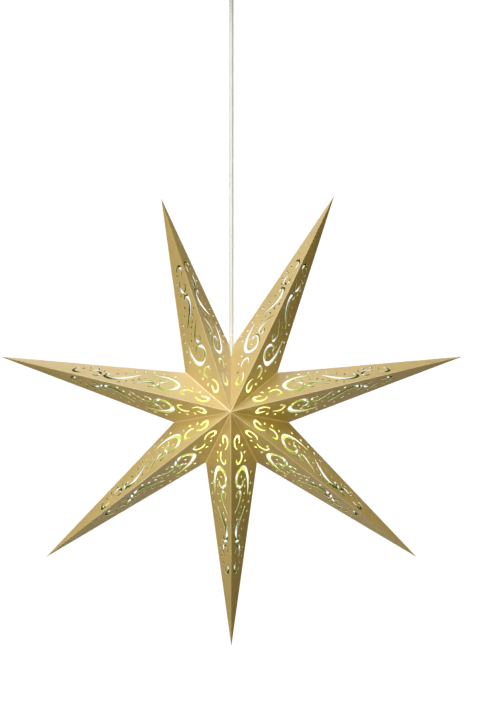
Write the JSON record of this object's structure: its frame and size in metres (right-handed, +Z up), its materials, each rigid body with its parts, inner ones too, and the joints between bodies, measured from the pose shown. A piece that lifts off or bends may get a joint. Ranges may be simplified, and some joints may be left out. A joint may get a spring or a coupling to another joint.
{
  "type": "hanging folded paper star lantern",
  "caption": "Folded paper star lantern with long pointed arms, a hollow body with a screw-base lamp inside, and a straight cord up to a round ceiling rose.",
  "frame": {"origin": "the middle of the ceiling bracket's top face, on the ceiling", "axes": "+Z up through the ceiling, -Y towards the front of the star, +X to the right as seen from the front"},
  "size_m": [0.5956, 0.1387, 0.9054],
  "materials": {
    "paper_gold": "pearl gold lacquered card, matt, with a fine fibre grain",
    "flex_white": "smooth white round PVC flex",
    "enamel_white": "satin white enamel",
    "nylon_white": "moulded white, fine texture",
    "zinc_steel": "bright zinc plate",
    "bulb_metal": "rolled thread, slightly dull",
    "contact_brass": "bright stamped brass",
    "white_ceramic": "unglazed, fine grain",
    "frosted_glass": "soft frosted, warm when lit",
    "black_glass": "black vitrified insulator",
    "tie_thread": "twisted white cotton"
  },
  "bodies": {
    "ceiling": {"ceiling_bracket": "zinc_steel", "canopy_cup": "enamel_white", "canopy_screw_left": "zinc_steel", "canopy_screw_right": "zinc_steel", "canopy_gland": "nylon_white", "gland_lock_nut": "nylon_white", "cord_tail": "flex_white", "terminal_block": "nylon_white", "terminal_screw_live": "contact_brass", "terminal_screw_neutral": "contact_brass"},
    "bead": {"cord_bead": "nylon_white"},
    "cord": {"hanging_cord": "flex_white"},
    "lantern": {"cord_grip_nut": "nylon_white", "holder_cap": "nylon_white", "holder_shell": "nylon_white", "shade_ring": "nylon_white", "contact_block": "white_ceramic", "screw_shell": "contact_brass", "centre_contact": "contact_brass"},
    "bulb_foot": {"bulb_insulator": "black_glass", "bulb_contact_tip": "contact_brass"},
    "bulb": {"bulb_glass": "frosted_glass", "bulb_base_shell": "bulb_metal", "bulb_stem": "frosted_glass"},
    "point_4_front_right": {"point_4_front_right": "paper_gold"},
    "point_4_back_right": {"point_4_back_right": "paper_gold"},
    "point_5_front_left": {"point_5_front_left": "paper_gold"},
    "point_5_back_left": {"point_5_back_left": "paper_gold"},
    "point_5_front_right": {"point_5_front_right": "paper_gold"},
    "point_5_back_right": {"point_5_back_right": "paper_gold"},
    "point_6_front_left": {"point_6_front_left": "paper_gold"},
    "point_6_back_left": {"point_6_back_left": "paper_gold"},
    "point_6_front_right": {"point_6_front_right": "paper_gold"},
    "point_6_back_right": {"point_6_back_right": "paper_gold"},
    "point_7_front_left": {"point_7_front_left": "paper_gold"},
    "point_7_back_left": {"point_7_back_left": "paper_gold"},
    "point_7_front_right": {"point_7_front_right": "paper_gold", "seam_tie_left": "tie_thread"},
    "point_7_back_right": {"point_7_back_right": "paper_gold"},
    "point_4_front_left": {"point_4_front_left": "paper_gold"},
    "point_4_back_left": {"point_4_back_left": "paper_gold"},
    "point_3_front_right": {"point_3_front_right": "paper_gold"},
    "point_3_back_right": {"point_3_back_right": "paper_gold"},
    "point_3_front_left": {"point_3_front_left": "paper_gold"},
    "point_3_back_left": {"point_3_back_left": "paper_gold"},
    "point_2_front_right": {"point_2_front_right": "paper_gold"},
    "point_2_back_right": {"point_2_back_right": "paper_gold"},
    "point_2_front_left": {"point_2_front_left": "paper_gold"},
    "point_2_back_left": {"point_2_back_left": "paper_gold"},
    "point_1_front_right": {"point_1_front_right": "paper_gold"},
    "point_1_back_right": {"point_1_back_right": "paper_gold"},
    "point_1_front_left": {"point_1_front_left": "paper_gold", "seam_tie_right": "tie_thread"},
    "point_1_back_left": {"point_1_back_left": "paper_gold"}
  },
  "joints": [
    {"name": "swing_front_back", "type": "hinge", "parent": "ceiling", "child": "bead", "pos_m": [0, 0, -0.05], "axis": [1, 0, 0], "range_deg": [-15, 15]},
    {"name": "swing_side", "type": "hinge", "parent": "bead", "child": "cord", "pos_m": [0, 0, -0.05], "axis": [0, 1, 0], "range_deg": [-15, 15]},
    {"name": "lantern_twist", "type": "hinge", "parent": "cord", "child": "lantern", "pos_m": [0, 0, -0.54], "axis": [0, 0, 1], "range_deg": [-180, 180]},
    {"name": "bulb_travel", "type": "slide", "parent": "lantern", "child": "bulb_foot", "axis": [0, 0, -1], "range_m": [0, 0.01128]},
    {"name": "bulb_turn", "type": "hinge", "parent": "bulb_foot", "child": "bulb", "pos_m": [0, 0, -0.59], "axis": [0, 0, 1], "range_deg": [0, 1441]},
    {"name": "star_fold", "type": "hinge", "parent": "lantern", "child": "point_4_front_right", "pos_m": [0, -0.07, -0.6], "axis": [0, 0.2218, -0.9751], "range_deg": [0, 30.03]},
    {"name": "side_edge_4_right", "type": "hinge", "parent": "point_4_front_right", "child": "point_4_back_right", "pos_m": [-0.03319, 0, -0.66892], "axis": [0.1377, 0, -0.9905], "range_deg": [-58.45, 0]},
    {"name": "front_valley_4_5", "type": "hinge", "parent": "point_4_front_right", "child": "point_5_front_left", "pos_m": [0, -0.07, -0.6], "axis": [-0.3201, 0.6751, -0.6647], "range_deg": [-82.76, 0]},
    {"name": "side_edge_5_left", "type": "hinge", "parent": "point_5_front_left", "child": "point_5_back_left", "pos_m": [-0.03319, 0, -0.66892], "axis": [-0.8602, 0, -0.5099], "range_deg": [0, 58.45]},
    {"name": "front_ridge_5", "type": "hinge", "parent": "point_5_front_left", "child": "point_5_front_right", "pos_m": [0, -0.07, -0.6], "axis": [-0.7624, 0.2218, -0.608], "range_deg": [0, 60.09]},
    {"name": "side_edge_5_right", "type": "hinge", "parent": "point_5_front_right", "child": "point_5_back_right", "pos_m": [-0.07458, 0, -0.61702], "axis": [-0.6885, 0, -0.7252], "range_deg": [-58.45, 0]},
    {"name": "front_valley_5_6", "type": "hinge", "parent": "point_5_front_right", "child": "point_6_front_left", "pos_m": [0, -0.07, -0.6], "axis": [-0.7193, 0.6751, -0.1642], "range_deg": [-82.76, 0]},
    {"name": "side_edge_6_left", "type": "hinge", "parent": "point_6_front_left", "child": "point_6_back_left", "pos_m": [-0.07458, 0, -0.61702], "axis": [-0.935, 0, 0.3546], "range_deg": [0, 58.45]},
    {"name": "front_ridge_6", "type": "hinge", "parent": "point_6_front_left", "child": "point_6_front_right", "pos_m": [0, -0.07, -0.6], "axis": [-0.9506, 0.2218, 0.217], "range_deg": [0, 60.09]},
    {"name": "side_edge_6_right", "type": "hinge", "parent": "point_6_front_right", "child": "point_6_back_right", "pos_m": [-0.05981, 0, -0.5523], "axis": [-0.9963, 0, 0.0862], "range_deg": [-58.45, 0]},
    {"name": "front_valley_6_7", "type": "hinge", "parent": "point_6_front_right", "child": "point_7_front_left", "pos_m": [0, -0.07, -0.6], "axis": [-0.5768, 0.6751, 0.46], "range_deg": [-92.81, 0]},
    {"name": "side_edge_7_left", "type": "hinge", "parent": "point_7_front_left", "child": "point_7_back_left", "pos_m": [-0.05981, 0, -0.5523], "axis": [-0.137, 0, 0.9906], "range_deg": [0, 70.04]},
    {"name": "front_ridge_7", "type": "hinge", "parent": "point_7_front_left", "child": "point_7_front_right", "pos_m": [0, -0.07, -0.6], "axis": [-0.3068, 0.2357, 0.9221], "range_deg": [0, 59.78]},
    {"name": "side_edge_7_right", "type": "hinge", "parent": "point_7_front_right", "child": "point_7_back_right", "pos_m": [-0.0032, 0, -0.516], "axis": [-0.4201, 0, 0.9075], "range_deg": [-45.74, 0]},
    {"name": "front_ridge_4_left", "type": "hinge", "parent": "lantern", "child": "point_4_front_left", "pos_m": [0, -0.07, -0.6], "axis": [0, 0.2218, -0.9751], "range_deg": [-30.05, 0]},
    {"name": "side_edge_4_left", "type": "hinge", "parent": "point_4_front_left", "child": "point_4_back_left", "pos_m": [0.03319, 0, -0.66892], "axis": [-0.1377, 0, -0.9905], "range_deg": [0, 58.45]},
    {"name": "front_valley_3_4", "type": "hinge", "parent": "point_4_front_left", "child": "point_3_front_right", "pos_m": [0, -0.07, -0.6], "axis": [0.3201, 0.6751, -0.6647], "range_deg": [0, 82.76]},
    {"name": "side_edge_3_right", "type": "hinge", "parent": "point_3_front_right", "child": "point_3_back_right", "pos_m": [0.03319, 0, -0.66892], "axis": [0.8602, 0, -0.5099], "range_deg": [-58.45, 0]},
    {"name": "front_ridge_3", "type": "hinge", "parent": "point_3_front_right", "child": "point_3_front_left", "pos_m": [0, -0.07, -0.6], "axis": [0.7624, 0.2218, -0.608], "range_deg": [-60.09, 0]},
    {"name": "side_edge_3_left", "type": "hinge", "parent": "point_3_front_left", "child": "point_3_back_left", "pos_m": [0.07458, 0, -0.61702], "axis": [0.6885, 0, -0.7252], "range_deg": [0, 58.45]},
    {"name": "front_valley_2_3", "type": "hinge", "parent": "point_3_front_left", "child": "point_2_front_right", "pos_m": [0, -0.07, -0.6], "axis": [0.7193, 0.6751, -0.1642], "range_deg": [0, 82.76]},
    {"name": "side_edge_2_right", "type": "hinge", "parent": "point_2_front_right", "child": "point_2_back_right", "pos_m": [0.07458, 0, -0.61702], "axis": [0.935, 0, 0.3546], "range_deg": [-58.45, 0]},
    {"name": "front_ridge_2", "type": "hinge", "parent": "point_2_front_right", "child": "point_2_front_left", "pos_m": [0, -0.07, -0.6], "axis": [0.9506, 0.2218, 0.217], "range_deg": [-60.09, 0]},
    {"name": "side_edge_2_left", "type": "hinge", "parent": "point_2_front_left", "child": "point_2_back_left", "pos_m": [0.05981, 0, -0.5523], "axis": [0.9963, 0, 0.0862], "range_deg": [0, 58.45]},
    {"name": "front_valley_1_2", "type": "hinge", "parent": "point_2_front_left", "child": "point_1_front_right", "pos_m": [0, -0.07, -0.6], "axis": [0.5768, 0.6751, 0.46], "range_deg": [0, 82.76]},
    {"name": "side_edge_1_right", "type": "hinge", "parent": "point_1_front_right", "child": "point_1_back_right", "pos_m": [0.05981, 0, -0.5523], "axis": [0.3057, 0, 0.9521], "range_deg": [-58.45, 0]},
    {"name": "front_ridge_1", "type": "hinge", "parent": "point_1_front_right", "child": "point_1_front_left", "pos_m": [0, -0.07, -0.6], "axis": [0.4231, 0.2218, 0.8785], "range_deg": [-61.28, 0]},
    {"name": "side_edge_1_left", "type": "hinge", "parent": "point_1_front_left", "child": "point_1_back_left", "pos_m": [0.0032, 0, -0.516], "axis": [0.5591, 0, 0.8291], "range_deg": [0, 60.75]}
  ],
  "couplings": [
    {"joint": "bulb_turn", "follows": "bulb_travel", "rad_per_m": 2228.1},
    {"joint": "side_edge_4_right", "follows": "star_fold", "ratio": -1.9454},
    {"joint": "front_valley_4_5", "follows": "star_fold", "ratio": -2.7548},
    {"joint": "side_edge_5_left", "follows": "star_fold", "ratio": 1.9454},
    {"joint": "front_ridge_5", "follows": "star_fold", "ratio": 2},
    {"joint": "side_edge_5_right", "follows": "star_fold", "ratio": -1.9454},
    {"joint": "front_valley_5_6", "follows": "star_fold", "ratio": -2.7548},
    {"joint": "side_edge_6_left", "follows": "star_fold", "ratio": 1.9454},
    {"joint": "front_ridge_6", "follows": "star_fold", "ratio": 2},
    {"joint": "side_edge_6_right", "follows": "star_fold", "ratio": -1.9454},
    {"joint": "front_valley_6_7", "follows": "star_fold", "ratio": -3.0894},
    {"joint": "side_edge_7_left", "follows": "star_fold", "ratio": 2.3313},
    {"joint": "front_ridge_7", "follows": "star_fold", "ratio": 1.9898},
    {"joint": "side_edge_7_right", "follows": "star_fold", "ratio": -1.5222},
    {"joint": "front_ridge_4_left", "follows": "star_fold", "ratio": -1},
    {"joint": "side_edge_4_left", "follows": "star_fold", "ratio": 1.9454},
    {"joint": "front_valley_3_4", "follows": "star_fold", "ratio": 2.7548},
    {"joint": "side_edge_3_right", "follows": "star_fold", "ratio": -1.9454},
    {"joint": "front_ridge_3", "follows": "star_fold", "ratio": -2},
    {"joint": "side_edge_3_left", "follows": "star_fold", "ratio": 1.9454},
    {"joint": "front_valley_2_3", "follows": "star_fold", "ratio": 2.7548},
    {"joint": "side_edge_2_right", "follows": "star_fold", "ratio": -1.9454},
    {"joint": "front_ridge_2", "follows": "star_fold", "ratio": -2},
    {"joint": "side_edge_2_left", "follows": "star_fold", "ratio": 1.9454},
    {"joint": "front_valley_1_2", "follows": "star_fold", "ratio": 2.7548},
    {"joint": "side_edge_1_right", "follows": "star_fold", "ratio": -1.9454},
    {"joint": "front_ridge_1", "follows": "star_fold", "ratio": -2.0397},
    {"joint": "side_edge_1_left", "follows": "star_fold", "ratio": 2.0221}
  ]
}
